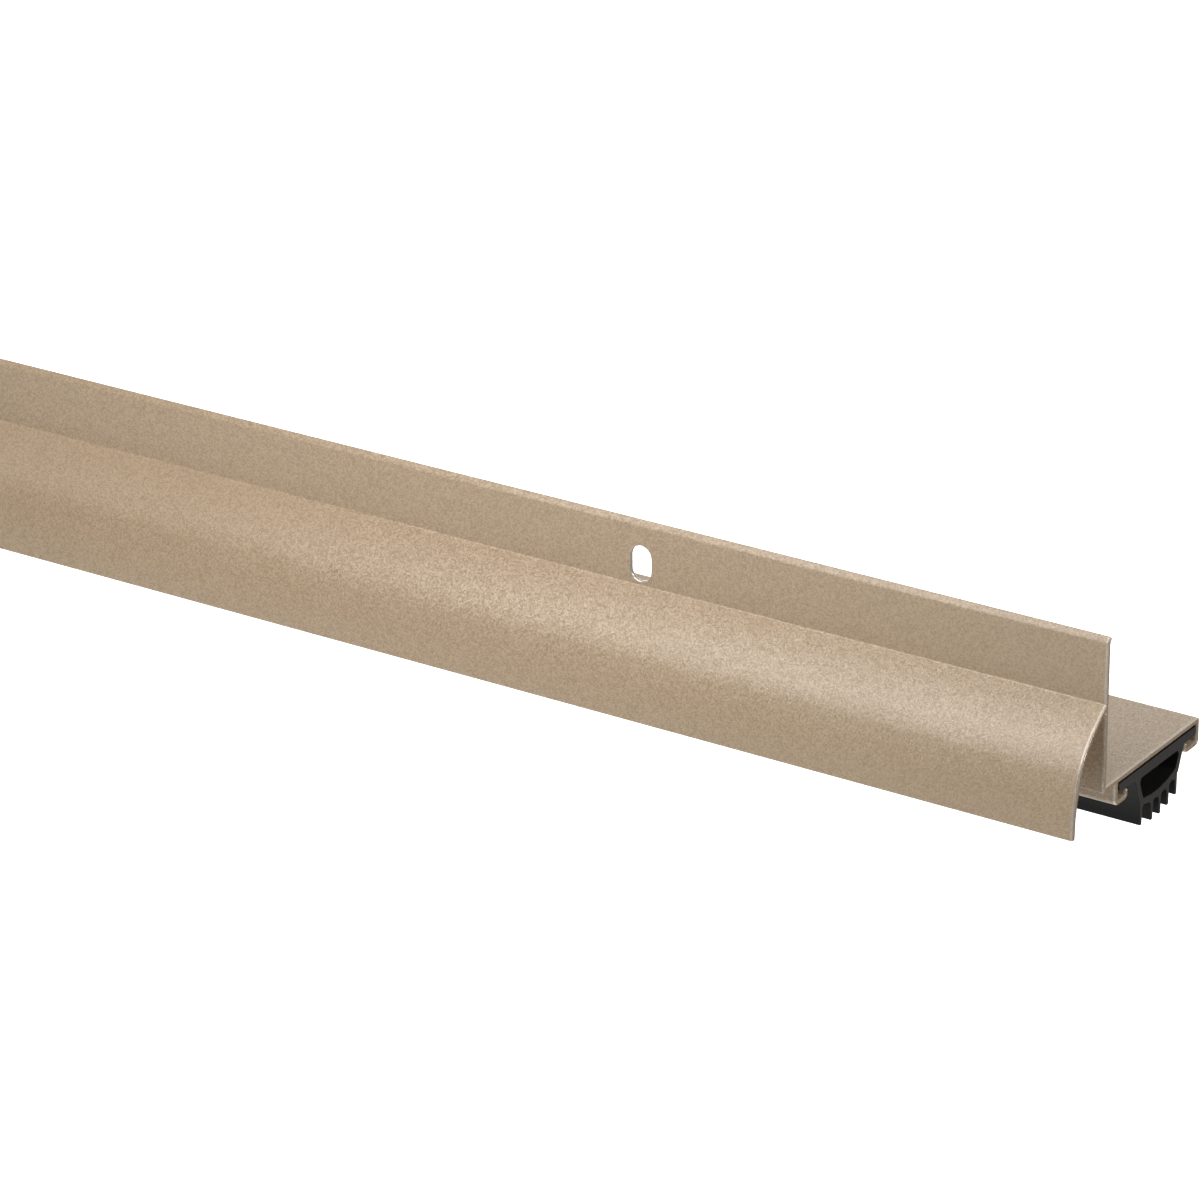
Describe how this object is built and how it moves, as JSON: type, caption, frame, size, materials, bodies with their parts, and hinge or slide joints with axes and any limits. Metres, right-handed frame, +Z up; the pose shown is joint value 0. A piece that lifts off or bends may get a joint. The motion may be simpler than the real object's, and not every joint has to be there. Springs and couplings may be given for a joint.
{
  "type": "door bottom seal",
  "caption": "Door bottom seal: an L-shaped aluminium rail with screw slots and a curved drip cap, and a finned hollow vinyl seal in the channel under the door.",
  "frame": {"origin": "inside corner where the leg's rear face meets the plate's top face, at mid length: the door's lower outside edge sits here", "axes": "+X along the door's width, +Y in under the door, away from its outside face, +Z up"},
  "size_m": [0.9144, 0.0509, 0.0464],
  "materials": {
    "satin_metal": "champagne satin metallic coat on extruded aluminium",
    "black_vinyl": "soft black vinyl, matt to satin"
  },
  "bodies": {
    "rail": {"aluminium_rail": "satin_metal"},
    "seal": {"vinyl_seal": "black_vinyl"}
  },
  "joints": [
    {"name": "seal_slide", "type": "slide", "parent": "rail", "child": "seal", "axis": [1, 0, 0], "range_m": [-0.8636, 0.8636]}
  ]
}
